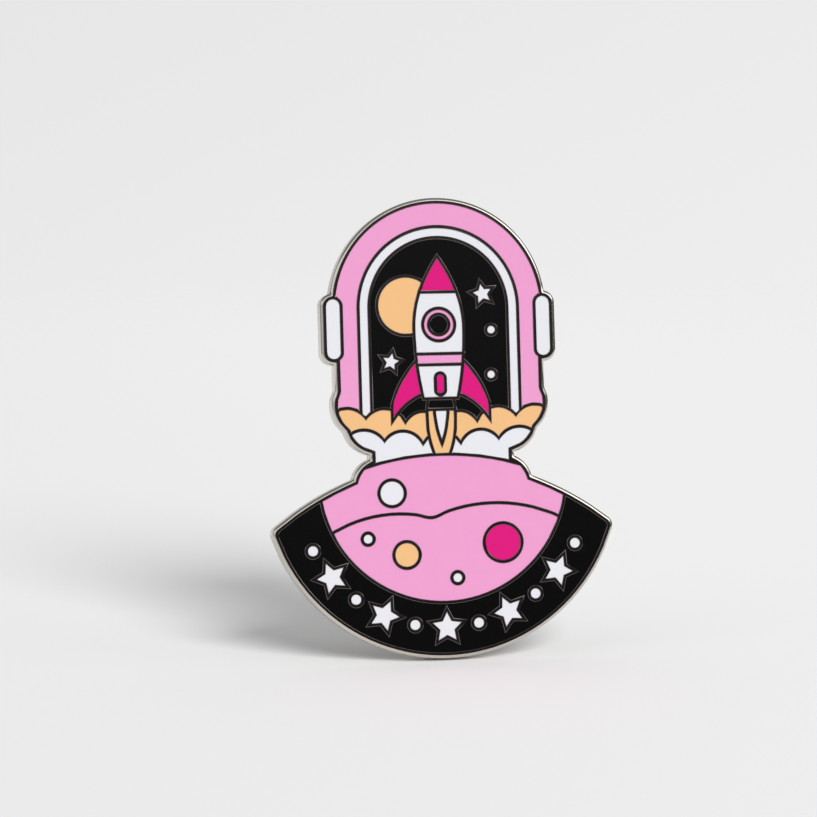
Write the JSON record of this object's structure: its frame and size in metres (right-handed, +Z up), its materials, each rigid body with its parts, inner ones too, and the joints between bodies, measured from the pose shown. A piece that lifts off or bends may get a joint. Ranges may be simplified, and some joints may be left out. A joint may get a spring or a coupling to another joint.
{
  "type": "enamel pin",
  "caption": "Die-struck metal pin with coloured enamel set between raised lines, pointed posts on its back, and butterfly clutches whose sprung jaws grip the posts.",
  "frame": {"origin": "on the plate's flat back, half-way up the pin and midway between the two posts", "axes": "+X to the right as seen from the front, +Y out of the back along the posts, +Z up"},
  "size_m": [0.0286, 0.0104, 0.038],
  "materials": {
    "black_nickel": "polished",
    "nickel": "gloss",
    "spring_steel": "satin",
    "pink_enamel": "polished",
    "white_enamel": "polished",
    "black_enamel": "polished",
    "peach_enamel": "polished",
    "magenta_enamel": "polished"
  },
  "bodies": {
    "plate": {"base_plate": "black_nickel", "upper_post": "nickel", "lower_post": "nickel", "arch_enamel": "white_enamel", "band_dot_1_enamel": "white_enamel", "band_dot_2_enamel": "white_enamel", "band_dot_3_enamel": "white_enamel", "band_dot_4_enamel": "white_enamel", "band_dot_5_enamel": "white_enamel", "band_dot_6_enamel": "white_enamel", "band_enamel": "black_enamel", "band_star_1_enamel": "white_enamel", "band_star_2_enamel": "white_enamel", "band_star_3_enamel": "white_enamel", "band_star_4_enamel": "white_enamel", "band_star_5_enamel": "white_enamel", "centre_fin_enamel": "magenta_enamel", "cloud_peach_left_enamel": "peach_enamel", "cloud_peach_right_enamel": "peach_enamel", "cloud_white_left_enamel": "white_enamel", "cloud_white_right_enamel": "white_enamel", "crater_magenta_enamel": "magenta_enamel", "crater_peach_enamel": "peach_enamel", "crater_small_left_enamel": "white_enamel", "crater_small_right_enamel": "white_enamel", "crater_white_enamel": "white_enamel", "dome_border_enamel": "pink_enamel", "fin_left_enamel": "magenta_enamel", "fin_right_enamel": "magenta_enamel", "flame_core_enamel": "white_enamel", "flame_enamel": "peach_enamel", "ground_far_enamel": "pink_enamel", "ground_near_enamel": "pink_enamel", "moon_enamel": "peach_enamel", "nozzle_enamel": "black_enamel", "porthole_glass_enamel": "black_enamel", "porthole_ring_enamel": "pink_enamel", "rocket_body_enamel": "white_enamel", "rocket_nose_enamel": "magenta_enamel", "rocket_stripe_enamel": "pink_enamel", "rocket_tail_enamel": "white_enamel", "sky_dot_low_enamel": "white_enamel", "sky_dot_right_enamel": "white_enamel", "sky_enamel": "black_enamel", "sky_low_left_enamel": "black_enamel", "sky_low_right_enamel": "black_enamel", "sky_star_left_enamel": "white_enamel", "sky_star_right_enamel": "white_enamel", "tab_left_enamel": "white_enamel", "tab_right_enamel": "white_enamel"},
    "upper_clutch": {"upper_clutch_disc": "nickel", "upper_clutch_housing": "nickel"},
    "upper_clutch_right_jaw": {"upper_clutch_right_jaw": "spring_steel"},
    "upper_clutch_left_jaw": {"upper_clutch_left_jaw": "spring_steel"},
    "lower_clutch": {"lower_clutch_disc": "nickel", "lower_clutch_housing": "nickel"},
    "lower_clutch_right_jaw": {"lower_clutch_right_jaw": "spring_steel"},
    "lower_clutch_left_jaw": {"lower_clutch_left_jaw": "spring_steel"}
  },
  "joints": [
    {"name": "upper_clutch_slide", "type": "slide", "parent": "plate", "child": "upper_clutch", "axis": [0, 1, 0], "range_m": [-0.0018, 0.0065]},
    {"name": "upper_clutch_right_pinch", "type": "hinge", "parent": "upper_clutch", "child": "upper_clutch_right_jaw", "pos_m": [0.00313, 0.00462, 0.009], "axis": [0, 0, 1], "range_deg": [0, 12], "stiffness_Nm_per_rad": 0.1},
    {"name": "upper_clutch_left_pinch", "type": "hinge", "parent": "upper_clutch", "child": "upper_clutch_left_jaw", "pos_m": [-0.00313, 0.00462, 0.009], "axis": [0, 0, -1], "range_deg": [0, 12]},
    {"name": "lower_clutch_slide", "type": "slide", "parent": "plate", "child": "lower_clutch", "axis": [0, 1, 0], "range_m": [-0.0018, 0.0065]},
    {"name": "lower_clutch_right_pinch", "type": "hinge", "parent": "lower_clutch", "child": "lower_clutch_right_jaw", "pos_m": [0.00313, 0.00462, -0.009], "axis": [0, 0, 1], "range_deg": [0, 12], "stiffness_Nm_per_rad": 0.1},
    {"name": "lower_clutch_left_pinch", "type": "hinge", "parent": "lower_clutch", "child": "lower_clutch_left_jaw", "pos_m": [-0.00313, 0.00462, -0.009], "axis": [0, 0, -1], "range_deg": [0, 12]}
  ],
  "couplings": [
    {"joint": "upper_clutch_left_pinch", "follows": "upper_clutch_right_pinch", "ratio": 1},
    {"joint": "lower_clutch_left_pinch", "follows": "lower_clutch_right_pinch", "ratio": 1}
  ]
}
